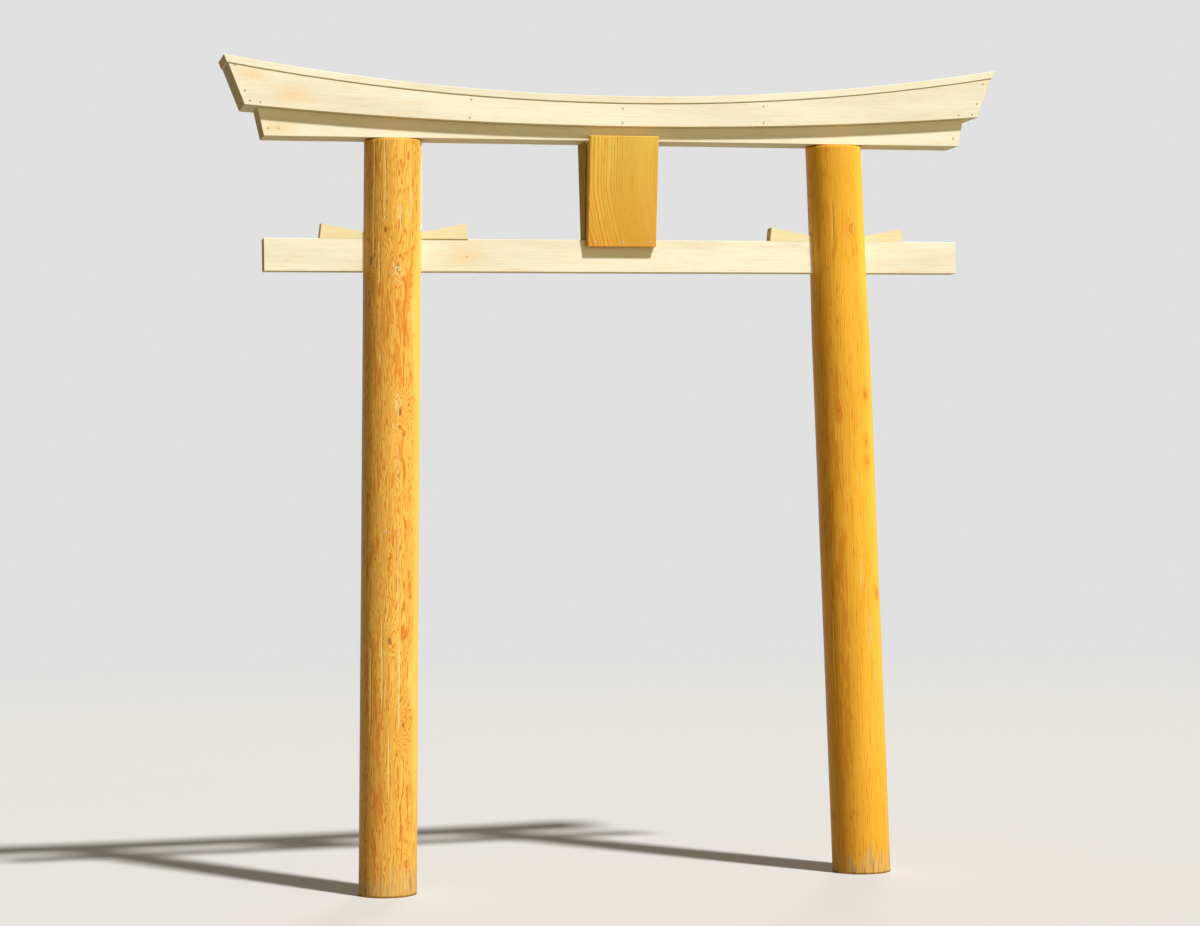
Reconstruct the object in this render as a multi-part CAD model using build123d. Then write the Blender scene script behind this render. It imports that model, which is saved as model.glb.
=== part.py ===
from build123d import *
from math import atan, cos, radians, sin, tan
import os

# Garden torii gate of clear-finished timber, in millimetres, +Z up, front facing -Y.
# It is set out about its middle plane, X = 0, and moved at the end so that the origin
# lies at the centre of the left post's foot, at ground level.

# Posts: round poles that lean in, cut level at the ground and under the lower lintel.
# Their tops fall a little towards the rim, to shed water.
post_diameter = 203.0
post_spacing_at_ground = 1728.0
post_spacing_at_top = 1613.0
post_height = 2626.0
post_top_fall = 5.0
post_top_fall_width = 28.0
tongue_length = 110.0
tongue_height = 52.0

# The right pole is stouter below the tie beam, where its radius grows by the swell down
# to the swell's height, and its foot stands out a little
right_post_swell = 3.8
right_post_swell_height = 1920.0
right_post_foot_outset = 6.0

# Nuki: the tie beam through both posts, a little behind their middle plane
nuki_length = 2530.0
nuki_height = 114.5
nuki_thickness = 60.0
nuki_front = -19.0
nuki_top_below_lintel = 346.0

# Wedges on top of the tie beam, driven into the mortise from each side of each post.
# A reach runs from the post's axis to the top corner of the wedge's tall end.
wedge_depth = 50.0
wedge_start = 12.0
wedge_thin_end = 3.0
wedge_end_lean = 7.5
left_outer_wedge_rise = 52.0
left_outer_wedge_reach = 250.0
left_inner_wedge_rise = 55.0
left_inner_wedge_reach = 258.0
left_inner_wedge_proud = 3.0
right_inner_wedge_rise = 49.0
right_inner_wedge_reach = 251.0
right_outer_wedge_rise = 47.0
right_outer_wedge_reach = 241.0

# Shimaki: the straight lower lintel, a box of two boards, blocks and soffit strips
shimaki_set_back = 137.0
shimaki_depth = 124.0
shimaki_middle_height = 49.0
shimaki_end_angle = 12.4
shimaki_board_thickness = 38.0
shimaki_end_block = 110.0
shimaki_block_length = 90.0
shimaki_left_block_centre = -445.0
shimaki_right_block_centre = 278.0
soffit_thickness = 25.0

# Kasagi: the curved upper lintel, a box of two sawn boards and blocks
kasagi_depth = 178.0
kasagi_middle_height = 82.0
kasagi_underside_rise = 60.0
kasagi_board_thickness = 38.0
kasagi_end_block = 120.0
kasagi_block_length = 100.0
kasagi_block_offset = 533.0

# Cap: one board bent over the upper lintel, its ends cut on the same slant
cap_length = 2802.0
cap_width = 184.0
cap_thickness = 25.0
cap_rise = 118.0
cap_end_angle = 21.0
cap_end_overhang = 3.5

# Centre strut and plaque
strut_width = 262.0
plaque_width = 249.0
plaque_thickness = 25.0
plaque_lap_on_nuki = 22.0
plaque_gap_below_kasagi = 32.0
plaque_offset = 1.0
packing_top_thickness = 17.4

# Fits and eased edges
mortise_gap = 0.4
scribe_gap = 0.3
butt_gap = 0.4
edge_ease = 1.5

# Levels and half sizes that follow from the sizes above
post_radius = post_diameter / 2
half_span = cap_length / 2
shimaki_length = cap_length - 2 * shimaki_set_back
lintel_base = post_height
kasagi_base = lintel_base + shimaki_middle_height
cap_base = kasagi_base + kasagi_middle_height
cap_top = cap_base + cap_thickness
nuki_top_height = lintel_base - nuki_top_below_lintel
nuki_base = nuki_top_height - nuki_height
nuki_back = nuki_front + nuki_thickness
plaque_foot = nuki_top_height - plaque_lap_on_nuki
plaque_head = kasagi_base - plaque_gap_below_kasagi
plaque_reach = shimaki_depth / 2 + packing_top_thickness + nuki_front
plaque_slope = plaque_reach / (lintel_base - plaque_foot)

# How far cutting shapes run on past the timber they cut
margin = post_diameter


def arc_radius(half_chord, rise):
    """Radius of an arc that climbs by rise over half its chord."""
    return (half_chord ** 2 + rise ** 2) / (2 * rise)


def disc(radius, lowest):
    """Side view of everything above an arc whose lowest point is on the middle plane."""
    return Pos(0, lowest + radius) * Circle(radius)


def slanted_band(half_length, at_height, angle, low, high):
    """Side view of a band whose ends lean out at the top by the angle from upright."""
    slope = tan(radians(angle))
    low_reach = half_length + (low - at_height) * slope
    high_reach = half_length + (high - at_height) * slope
    corners = [(-low_reach, low), (low_reach, low), (high_reach, high), (-high_reach, high)]
    return Polygon(*corners, align=None)


def rectangle_between(x_low, x_high, z_low, z_high):
    """Side view of a rectangle given by its limits."""
    corners = [(x_low, z_low), (x_high, z_low), (x_high, z_high), (x_low, z_high)]
    return Polygon(*corners, align=None)


def across(outline, y_low, y_high):
    """Solid with the outline as its front view, between two depths."""
    return extrude(Plane.XZ.offset(-y_high) * outline, amount=y_high - y_low)


def along(outline, width):
    """Solid with the outline as its end view, centred on the middle plane."""
    return extrude(Plane.YZ * outline, amount=width / 2, both=True)


def ease_face_edges(solid, direction):
    """Ease the edges round the face that lies furthest in a direction."""
    face = solid.faces().sort_by(direction)[-1]
    return chamfer(face.edges(), edge_ease)


def post_axis_at(side, height):
    """X of a post's axis at a height; side is -1 for left and 1 for right."""
    foot = post_spacing_at_ground / 2
    top = post_spacing_at_top / 2
    return side * (foot + (top - foot) * height / post_height)


def pole(side):
    """A round pole along a post's leaning axis, longer than the post at both ends."""
    foot_x = post_axis_at(side, 0)
    lowest = -margin
    highest = post_height + margin
    outline = [(post_radius, lowest), (post_radius, highest)]
    if side > 0:
        foot_x += right_post_foot_outset
        stout = post_radius + right_post_swell
        outline = [
            (stout, lowest),
            (stout, right_post_swell_height),
            (post_radius, nuki_base),
            (post_radius, highest),
        ]
    corners = [(0, lowest), *outline, (0, highest)]
    profile = Plane.XZ * make_face(Polyline(*corners, close=True))
    foot = Vector(foot_x, 0, 0)
    top = Vector(post_axis_at(side, post_height), 0, post_height)
    return Plane(origin=foot, z_dir=top - foot) * revolve(profile, Axis.Z)


# Each wedge: its post's side, the way its tall end points, its reach and rise, and how
# far it stands proud of the tie beam's front
wedges = {
    "left_post_outer_wedge": (-1, -1, left_outer_wedge_reach, left_outer_wedge_rise, 0.0),
    "left_post_inner_wedge": (-1, 1, left_inner_wedge_reach, left_inner_wedge_rise, left_inner_wedge_proud),
    "right_post_inner_wedge": (1, -1, right_inner_wedge_reach, right_inner_wedge_rise, 0.0),
    "right_post_outer_wedge": (1, 1, right_outer_wedge_reach, right_outer_wedge_rise, 0.0),
}


def wedge(name, clearance=0.0):
    """One wedge, its tall end away from the post, or with a clearance the slot that holds it."""
    side, outward, reach, rise, proud = wedges[name]
    axis_x = post_axis_at(side, nuki_top_height)
    thin_x = axis_x + outward * wedge_start
    tall_x = axis_x + outward * reach
    tall_foot_x = tall_x + outward * rise * tan(radians(wedge_end_lean))
    corners = [
        (thin_x, nuki_top_height),
        (tall_foot_x, nuki_top_height),
        (tall_x, nuki_top_height + rise + clearance),
        (thin_x, nuki_top_height + wedge_thin_end + clearance),
    ]
    outline = make_face(Polyline(*corners, close=True))
    front = nuki_front - proud
    return across(outline, front - clearance, front + wedge_depth + clearance)


def post(side):
    """A leaning round post with its mortise, wedge slots and top tongue."""
    stands = (Align.CENTER, Align.CENTER, Align.MIN)
    slab = Box(post_spacing_at_ground * 2, margin * 2, post_height, align=stands)
    body = pole(side) & slab
    rim = body.faces().sort_by(Axis.Z)[-1]
    body = chamfer(rim.edges(), post_top_fall_width, post_top_fall, reference=rim)

    tongue_width = shimaki_depth - 2 * shimaki_board_thickness - 2 * mortise_gap
    tongue = Box(tongue_length, tongue_width, tongue_height, align=stands)
    body = body + Pos(post_axis_at(side, post_height), 0, post_height) * tongue

    nuki_x = post_axis_at(side, nuki_top_height)
    view = rectangle_between(nuki_x - margin, nuki_x + margin, nuki_base, nuki_top_height + mortise_gap)
    body = body - across(view, nuki_front - mortise_gap, nuki_back + mortise_gap)
    for name in wedges:
        if wedges[name][0] == side:
            body = body - wedge(name, mortise_gap)
    return body


def nuki():
    """The tie beam, one straight timber with eased edges."""
    beam = across(
        rectangle_between(-nuki_length / 2, nuki_length / 2, nuki_base, nuki_top_height),
        nuki_front,
        nuki_back,
    )
    return chamfer(beam.edges(), edge_ease)


def shimaki_outline():
    """Front view of the lower lintel: straight below, scribed to the curve above."""
    high = kasagi_base + kasagi_underside_rise
    band = slanted_band(shimaki_length / 2, lintel_base, shimaki_end_angle, lintel_base, high)
    radius = arc_radius(half_span, kasagi_underside_rise)
    return band - disc(radius, kasagi_base - scribe_gap)


def shimaki_pieces():
    """The lower lintel's boards, blocks and soffit strips."""
    outline = shimaki_outline()
    face = shimaki_depth / 2
    core = face - shimaki_board_thickness
    front = ease_face_edges(across(outline, -face, -core), -Axis.Y)
    back = ease_face_edges(across(outline, core, face), Axis.Y)

    far = shimaki_length
    above = cap_top + cap_rise
    inner_end = shimaki_length / 2 - shimaki_end_block
    left_end_view = outline & rectangle_between(-far, -inner_end, lintel_base, above)
    right_end_view = outline & rectangle_between(inner_end, far, lintel_base, above)

    soffit_top = lintel_base + soffit_thickness
    half_block = shimaki_block_length / 2
    pieces = {
        "shimaki_front_board": front,
        "shimaki_back_board": back,
        "shimaki_left_end_block": across(left_end_view, -core, core),
        "shimaki_right_end_block": across(right_end_view, -core, core),
    }
    block_centres = {
        "shimaki_left_block": shimaki_left_block_centre,
        "shimaki_right_block": shimaki_right_block_centre,
    }
    for name, centre in block_centres.items():
        limits = rectangle_between(centre - half_block, centre + half_block, soffit_top, above)
        pieces[name] = across(outline & limits, -core, core)

    tongue_x = post_spacing_at_top / 2
    tongue_end = tongue_length / 2 + butt_gap
    strips = {
        "shimaki_left_soffit": (-inner_end, -tongue_x - tongue_end),
        "shimaki_middle_soffit": (-tongue_x + tongue_end, tongue_x - tongue_end),
        "shimaki_right_soffit": (tongue_x + tongue_end, inner_end),
    }
    for name, (x_low, x_high) in strips.items():
        strip = rectangle_between(x_low, x_high, lintel_base, soffit_top)
        pieces[name] = across(strip, -core, core)
    return pieces


def kasagi_outline():
    """Front view of the upper lintel between its two arcs and slanted ends."""
    top_radius = arc_radius(half_span, cap_rise)
    under_radius = arc_radius(half_span, kasagi_underside_rise)
    end_top = cap_top + cap_rise
    band = slanted_band(half_span - cap_end_overhang, end_top, cap_end_angle, kasagi_base, end_top)
    return band & disc(under_radius, kasagi_base) - disc(top_radius + cap_thickness, cap_base - scribe_gap)


def kasagi_pieces():
    """The upper lintel's boards and the blocks between them."""
    outline = kasagi_outline()
    face = kasagi_depth / 2
    core = face - kasagi_board_thickness
    pieces = {
        "kasagi_front_board": ease_face_edges(across(outline, -face, -core), -Axis.Y),
        "kasagi_back_board": ease_face_edges(across(outline, core, face), Axis.Y),
    }
    above = cap_top + cap_rise
    foot_of_end = half_span - cap_end_overhang - (above - kasagi_base) * tan(radians(cap_end_angle))
    inner_end = foot_of_end - kasagi_end_block
    half_block = kasagi_block_length / 2
    limits = {
        "kasagi_left_end_block": (-cap_length, -inner_end),
        "kasagi_left_block": (-kasagi_block_offset - half_block, -kasagi_block_offset + half_block),
        "kasagi_middle_block": (-half_block, half_block),
        "kasagi_right_block": (kasagi_block_offset - half_block, kasagi_block_offset + half_block),
        "kasagi_right_end_block": (inner_end, cap_length),
    }
    for name, (x_low, x_high) in limits.items():
        view = outline & rectangle_between(x_low, x_high, kasagi_base, above)
        pieces[name] = across(view, -core, core)
    return pieces


def kasagi_cap():
    """The cap board, bent to the curve, with slanted ends and eased edges."""
    radius = arc_radius(half_span, cap_rise)
    end_top = cap_top + cap_rise
    band = slanted_band(half_span, end_top, cap_end_angle, cap_base, end_top)
    outline = band & disc(radius + cap_thickness, cap_base) - disc(radius, cap_top)
    board = across(outline, -cap_width / 2, cap_width / 2)
    return chamfer(board.edges(), edge_ease)


def gakuzuka():
    """The centre strut, flush with the tie beam below and the lower lintel above."""
    corners = [
        (nuki_front, nuki_top_height),
        (nuki_back, nuki_top_height),
        (shimaki_depth / 2, lintel_base),
        (-shimaki_depth / 2, lintel_base),
    ]
    strut = along(make_face(Polyline(*corners, close=True)), strut_width)
    return Pos(plaque_offset, 0, 0) * strut


def plaque_back_at(height):
    """Depth of the plaque's back face at a height."""
    return nuki_front - (height - plaque_foot) * plaque_slope


def plaque_packing():
    """The tapered piece that fills between the strut and the leaning plaque."""
    corners = [
        (nuki_front, nuki_top_height),
        (-shimaki_depth / 2, lintel_base),
        (plaque_back_at(lintel_base), lintel_base),
        (plaque_back_at(nuki_top_height), nuki_top_height),
    ]
    packing = along(make_face(Polyline(*corners, close=True)), plaque_width)
    return Pos(plaque_offset, 0, 0) * packing


def plaque_board():
    """The bare plaque, square-cut, leaning out at the top."""
    lean = atan(plaque_slope)
    out = Vector(-cos(lean), -sin(lean)) * plaque_thickness
    foot = Vector(plaque_back_at(plaque_foot), plaque_foot)
    head = Vector(plaque_back_at(plaque_head), plaque_head)
    corners = [foot, head, head + out, foot + out]
    board = along(make_face(Polyline(*corners, close=True)), plaque_width)
    return Pos(plaque_offset, 0, 0) * chamfer(board.edges(), edge_ease)


def gate():
    """Every piece by name, set out about the middle plane."""
    pieces = {
        "left_post": post(-1),
        "right_post": post(1),
        "nuki": nuki(),
        "gakuzuka": gakuzuka(),
        "plaque_packing": plaque_packing(),
        "plaque_board": plaque_board(),
        "kasagi_cap": kasagi_cap(),
    }
    for name in wedges:
        pieces[name] = wedge(name)
    pieces.update(shimaki_pieces())
    pieces.update(kasagi_pieces())
    return pieces


os.makedirs("parts", exist_ok=True)
to_left_foot = Pos(post_spacing_at_ground / 2, 0, 0)
for node, solid in gate().items():
    export_step(to_left_foot * solid, f"parts/{node}.step")
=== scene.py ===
from math import atan, cos, pi, radians, sin

import bmesh
import bpy
import numpy as np
from bpy.props import FloatProperty, FloatVectorProperty, PointerProperty
from bpy.types import Operator, Panel, PropertyGroup
from mathutils import Euler, Matrix, Vector, noise


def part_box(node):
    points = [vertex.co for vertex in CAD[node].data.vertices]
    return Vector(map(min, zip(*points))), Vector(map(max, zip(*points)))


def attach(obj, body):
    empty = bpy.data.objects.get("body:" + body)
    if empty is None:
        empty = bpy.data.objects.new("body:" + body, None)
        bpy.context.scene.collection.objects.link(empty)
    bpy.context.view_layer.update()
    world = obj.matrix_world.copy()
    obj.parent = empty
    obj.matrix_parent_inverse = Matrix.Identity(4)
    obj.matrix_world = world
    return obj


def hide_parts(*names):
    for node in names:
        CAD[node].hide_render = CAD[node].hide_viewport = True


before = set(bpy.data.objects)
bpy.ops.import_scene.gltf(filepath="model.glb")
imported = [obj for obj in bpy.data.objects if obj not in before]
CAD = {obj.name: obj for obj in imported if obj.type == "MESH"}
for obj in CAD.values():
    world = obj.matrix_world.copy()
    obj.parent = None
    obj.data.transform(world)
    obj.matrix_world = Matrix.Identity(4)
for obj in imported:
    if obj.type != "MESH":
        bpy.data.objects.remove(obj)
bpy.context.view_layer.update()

bl_info = {
    "name": "Garden torii gate",
    "version": (1, 0, 0),
    "blender": (4, 5, 0),
    "location": "3D View > Sidebar > Torii",
    "description": "Finishes the timber of a garden torii gate and sets its stage",
    "category": "Object",
}

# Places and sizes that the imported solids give.
NUKI_LOW, NUKI_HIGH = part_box("nuki")
MIDDLE_X = (NUKI_LOW.x + NUKI_HIGH.x) / 2
KASAGI_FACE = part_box("kasagi_front_board")[0].y
SHIMAKI_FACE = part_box("shimaki_front_board")[0].y
PLAQUE_LOW, PLAQUE_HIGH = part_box("plaque_board")
CAP_LOW, CAP_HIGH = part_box("kasagi_cap")
POST_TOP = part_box("shimaki_front_board")[0].z
TONGUE_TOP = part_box("left_post")[1].z
POST_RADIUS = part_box("left_post")[1].y
POST_GIRTH = 2 * pi * POST_RADIUS

# Each post's axis: X at the ground, and how far it moves along X up to the lintel's underside.
# The right post is stouter by its swell from the swell's height down.
LEFT_FOOT_X = 0.0
RIGHT_FOOT_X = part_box("right_post")[1].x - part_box("right_post")[1].y
LEFT_LEAN = 0.0575
RIGHT_TOP_X = 2 * MIDDLE_X - LEFT_FOOT_X - LEFT_LEAN
POST_FEET = {"left_post": LEFT_FOOT_X, "right_post": RIGHT_FOOT_X}
POST_LEAN = {"left_post": LEFT_LEAN, "right_post": RIGHT_TOP_X - RIGHT_FOOT_X}
POST_SWELL = {"left_post": 0.0, "right_post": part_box("right_post")[1].y - POST_RADIUS}
SWELL_HEIGHT = 1.920

# Sizes of boards and joints that no box of a node gives.
BOARD_THICKNESS = 0.025
TONGUE_HALF_WIDTH = 0.055
JOINT_GAP = 0.0004

FRONT = (0.0, -1.0, 0.0)
ALONG_X = (0.0, radians(90), 0.0)
ALONG_Z = (0.0, 0.0, 0.0)


def length(name, description, default, low=0.0, high=10.0):
    """A length in metres that the sidebar can change."""
    return FloatProperty(
        name=name, description=description, default=default, min=low, max=high, unit="LENGTH", precision=4
    )


def strength(name, description, default, high=20.0):
    """The strength of a lamp or of the fill."""
    return FloatProperty(name=name, description=description, default=default, min=0.0, max=high)


def angle(name, description, degrees):
    """An angle, given in degrees and kept in radians."""
    return FloatProperty(name=name, description=description, default=radians(degrees), subtype="ANGLE")


def tone(name, description, red, green, blue):
    """A colour, given as it shows on a screen in 0 to 255 and kept as the light it reflects."""
    levels = [level / 255 for level in (red, green, blue)]
    light = [level / 12.92 if level < 0.04045 else ((level + 0.055) / 1.055) ** 2.4 for level in levels]
    return FloatVectorProperty(
        name=name, description=description, default=light, size=3, min=0.0, max=1.0, subtype="COLOR"
    )


class PostSettings(PropertyGroup):
    """Sizes and colours of the two round posts."""

    row_height: length("Row height", "Height of one row of faces up a post", 0.009, 0.004, 0.1)
    column_width: length("Column width", "Width of one face round a post", 0.0055, 0.002, 0.05)
    unevenness: length("Unevenness", "How far the surface dips below the true round", 0.0009, 0.0, 0.01)
    check_depth: length("Check depth", "How far a check's filler lies below the surface", 0.0005, 0.0, 0.01)
    ring_width: length("Ring width", "Width of one year's growth near the surface", 0.0020, 0.001, 0.02)
    left_early: tone("Left early wood", "Pale growth of the figured left post", 254, 204, 94)
    left_late: tone("Left late wood", "Dense growth of the figured left post", 206, 114, 34)
    left_patch: tone("Left patches", "Resin-rich patches of the left post", 230, 136, 44)
    # Painted highlight: the pale yellow that each post shows on its side toward the key lamp.
    left_sapwood: tone("Left sapwood", "Plain pale side of the left post", 255, 222, 112)
    right_early: tone("Right early wood", "Pale growth of the smoother right post", 255, 196, 62)
    right_late: tone("Right late wood", "Dense growth of the smoother right post", 228, 134, 34)
    right_patch: tone("Right patches", "Resin-rich patches of the right post", 228, 134, 36)
    # Painted highlight, as on the left post.
    right_sapwood: tone("Right sapwood", "Plain yellow side of the right post", 246, 210, 74)
    knot: tone("Knot", "Heart of a knot", 128, 82, 42)
    left_filler: tone("Left filler", "Pale filler in the left post's drying checks", 242, 226, 170)
    right_filler: tone("Right filler", "Dull filler in the right post's drying checks", 212, 198, 124)
    weathered: tone("Weathered foot", "Wood near the ground, bleached by wet and sun", 216, 178, 110)
    damp: tone("Damp stain", "Grey streaks that rise from the ground", 132, 122, 104)


class BeamSettings(PropertyGroup):
    """Colours of the sawn timbers: lintels, cap, tie beam, strut and wedges."""

    ring_width: length("Ring width", "Width of one year's growth", 0.0042, 0.001, 0.02)
    early: tone("Early wood", "Pale growth of the sawn timber", 254, 254, 238)
    late: tone("Late wood", "Dense growth of the sawn timber", 253, 242, 200)
    blush: tone("Blush", "Warmer streaks near knots and ends", 246, 204, 126)
    wedge_early: tone("Wedge early wood", "Pale growth of the wedges", 254, 248, 208)
    wedge_late: tone("Wedge late wood", "Dense growth of the wedges", 248, 222, 158)
    # The strut's colours are partly its own darker wood and partly painted shade for its side, which lies in
    # shade.
    strut_early_with_painted_shade: tone("Strut early wood", "Pale growth of the strut", 178, 152, 74)
    strut_late_with_painted_shade: tone("Strut late wood", "Dense growth of the strut", 152, 120, 50)
    knot: tone("Knot", "Heart of a knot in the sawn timber", 206, 152, 88)


class PlaqueSettings(PropertyGroup):
    """Colours of the bare plaque and the packing behind it."""

    ring_width: length("Ring width", "Width of one year's growth", 0.0100, 0.001, 0.02)
    early: tone("Early wood", "Pale growth of the plaque", 255, 227, 113)
    late: tone("Late wood", "Dense growth of the plaque", 250, 161, 59)
    blush: tone("Blush", "Redder streaks of the plaque", 255, 178, 68)


class ScrewSettings(PropertyGroup):
    """Sizes and colours of the countersunk screws."""

    head_width: length("Head width", "Across a screw's head", 0.0082, 0.004, 0.03)
    head_stand: length("Head stand", "How far a head stands proud of the wood", 0.0005, 0.0, 0.003)
    steel: tone("Coated steel", "Grey-brown coating of the lintel screws", 186, 172, 136)
    bright: tone("Bright steel", "Plated steel of the plaque's screws", 204, 186, 160)


class StageSettings(PropertyGroup):
    """Camera, lamps and floor."""

    camera_place: FloatVectorProperty(
        name="Camera place", description="Where the camera stands", size=3, subtype="TRANSLATION",
        unit="LENGTH", default=(-1.4749, -9.4167, 1.3869),
    )
    camera_yaw: angle("Camera yaw", "Turn to the right of straight ahead", 13.482)
    camera_pitch: angle("Camera pitch", "Tilt above level", 0.606)
    camera_roll: angle("Camera roll", "Roll about the line of sight", -0.884)
    lens: FloatProperty(name="Lens", description="Focal length in mm on a 36 mm sensor", default=81.857)
    key_strength: strength("Key strength", "Strength of the high main lamp", 4.35)
    key_softness: angle("Key softness", "Angle that the main lamp fills, which softens its shadows", 4.0)
    key_side: angle("Key side", "Turn of the main lamp to the right of the gate's front", 33.0)
    key_height: angle("Key height", "Angle of the main lamp above the horizon", 54.0)
    front_strength: strength("Front strength", "Strength of the broad low lamp before the gate", 0.70)
    front_softness: angle("Front softness", "Angle that the front lamp fills", 50.0)
    front_side: angle("Front side", "Turn of the front lamp to the right of the gate's front", 26.0)
    front_height: angle("Front height", "Angle of the front lamp above the horizon", 8.0)
    back_strength: strength("Back strength", "Strength of the low lamp behind the gate", 1.4)
    back_softness: angle("Back softness", "Angle that the back lamp fills", 20.0)
    back_side: angle("Back side", "Turn of the back lamp to the right of the gate's front", 156.0)
    back_height: angle("Back height", "Angle of the back lamp above the horizon", 15.0)
    fill_strength: strength("Fill strength", "Strength of the even light from all round", 0.12, 5.0)
    floor_radius: length("Floor radius", "How far the floor reaches until it has faded out", 15.0, 3.0, 100.0)
    floor: tone("Floor", "Plain pale floor", 200, 200, 199)
    background: tone("Background", "Plain pale background", 224, 225, 224)


class Wiring:
    """Short ways to add and join the nodes of one tree."""

    def __init__(self, tree):
        self.tree = tree

    def add(self, kind, sources=(), **settings):
        """Add a node, its inputs fed in order or by name or number."""
        node = self.tree.nodes.new(kind)
        for name, value in settings.items():
            setattr(node, name, value)
        for place, source in sources.items() if isinstance(sources, dict) else enumerate(sources):
            self.feed(node.inputs[place], source)
        return node

    def feed(self, socket, source):
        """Join a socket to another, or set its own value."""
        if isinstance(source, bpy.types.NodeSocket):
            self.tree.links.new(source, socket)
        elif socket.type == "RGBA" and len(source) == 3:
            socket.default_value = (*source, 1.0)
        else:
            socket.default_value = source

    def math(self, operation, *operands, clamp=False):
        return self.add("ShaderNodeMath", operands, operation=operation, use_clamp=clamp).outputs[0]

    def times(self, value, factor):
        return self.math("MULTIPLY", value, factor)

    def plus(self, value, addend):
        return self.math("ADD", value, addend)

    def minus(self, value, less):
        return self.math("SUBTRACT", value, less)

    def over(self, value, divisor):
        return self.math("DIVIDE", value, divisor)

    def times_plus(self, value, factor, addend, clamp=False):
        return self.math("MULTIPLY_ADD", value, factor, addend, clamp=clamp)

    def larger(self, value, other):
        return self.math("MAXIMUM", value, other)

    def scaled(self, position, factors):
        return self.vector("MULTIPLY", position, factors)

    def vector(self, operation, *operands):
        node = self.add("ShaderNodeVectorMath", operands, operation=operation)
        return node.outputs["Value" if operation in ("LENGTH", "DOT_PRODUCT") else "Vector"]

    def parts(self, vector):
        return self.add("ShaderNodeSeparateXYZ", [vector]).outputs

    def together(self, x, y, z):
        return self.add("ShaderNodeCombineXYZ", (x, y, z)).outputs[0]

    def noise(self, position, scale=1.0, detail=2.0, roughness=0.5, distortion=0.0):
        sources = {"Vector": position, "Scale": scale, "Detail": detail, "Roughness": roughness}
        sources["Distortion"] = distortion
        return self.add("ShaderNodeTexNoise", sources, noise_dimensions="3D").outputs[0]

    def random(self, number):
        return self.add("ShaderNodeTexWhiteNoise", {"W": number}, noise_dimensions="1D").outputs["Value"]

    def spread(self, value, low, high, to_low=0.0, to_high=1.0, smooth=True):
        sources = (value, low, high, to_low, to_high)
        kind = "SMOOTHSTEP" if smooth else "LINEAR"
        return self.add("ShaderNodeMapRange", sources, interpolation_type=kind).outputs[0]

    def blend(self, amount, first, second, kind="MIX"):
        sources = {0: amount, 6: first, 7: second}
        return self.add("ShaderNodeMix", sources, data_type="RGBA", blend_type=kind).outputs[2]

    def shaders(self, amount, first, second):
        """The first shader where the amount is 0 and the second where it is 1."""
        return self.add("ShaderNodeMixShader", (amount, first.outputs[0], second.outputs[0]))

    def stored(self, name):
        """A value that the mesh keeps at each point."""
        return self.add("ShaderNodeAttribute", attribute_name=name).outputs["Fac"]

    def group(self, tree, **values):
        """Place a node group, its inputs given by name with _ for each space."""
        sources = {name.replace("_", " "): source for name, source in values.items()}
        return self.add("ShaderNodeGroup", sources, node_tree=tree).outputs


# How far one step of a seed moves a timber through the noise.
SEED_STEP = 7.31
# How slowly the fibre changes along the grain against across it, and how much faster pores end.
FIBRE_ALONG = 0.012
PORE_SHORTER = 5.0
# How far behind a knot's face its marks fade out, so that they stay on its own side of the timber.
KNOT_SIDE = (-0.06, -0.03)
# A knot's marks reach twice as far along the grain as across it.
KNOT_ALONG_X = (0.5, 1.0, 1.0)
KNOT_ALONG_Z = (1.0, 1.0, 0.5)

SOCKETS = {"vector": "NodeSocketVector", "number": "NodeSocketFloat", "colour": "NodeSocketColor"}
GROWTH_INPUTS = [
    ("Position", "vector"), ("Seed", "number"), ("Ring Width", "number"), ("Wander", "number"),
    ("Wander Across", "number"), ("Wander Along", "number"), ("Lift", "number"),
]

# Shades that are multiplied into the timber's colour, each where its own mask says.
BROAD_SHADE = (0.52, 0.36, 0.20)
STREAK_SHADE = (0.58, 0.42, 0.28)
PORE_SHADE = (0.50, 0.34, 0.20)
# Dust on upward faces, together with painted shade that keeps tops lit by the high lamp from showing too
# bright.
DUST_AND_PAINTED_TOP_SHADE = (0.80, 0.78, 0.75)
END_GRAIN_SHADE = (0.74, 0.58, 0.42)
LOWER_SHADE = (0.96, 0.75, 0.54)

RUST = (0.16, 0.085, 0.04)


def new_group(name, inputs, outputs):
    """An empty shader node group with named sockets: (its wiring, its inputs, its outputs)."""
    tree = bpy.data.node_groups.new(name, "ShaderNodeTree")
    for label, kind in inputs:
        tree.interface.new_socket(name=label, in_out="INPUT", socket_type=SOCKETS[kind])
    for label, kind in outputs:
        tree.interface.new_socket(name=label, in_out="OUTPUT", socket_type=SOCKETS[kind])
    wiring = Wiring(tree)
    entry = wiring.add("NodeGroupInput")
    leaving = wiring.add("NodeGroupOutput")
    return wiring, entry.outputs, leaving.inputs


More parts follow.
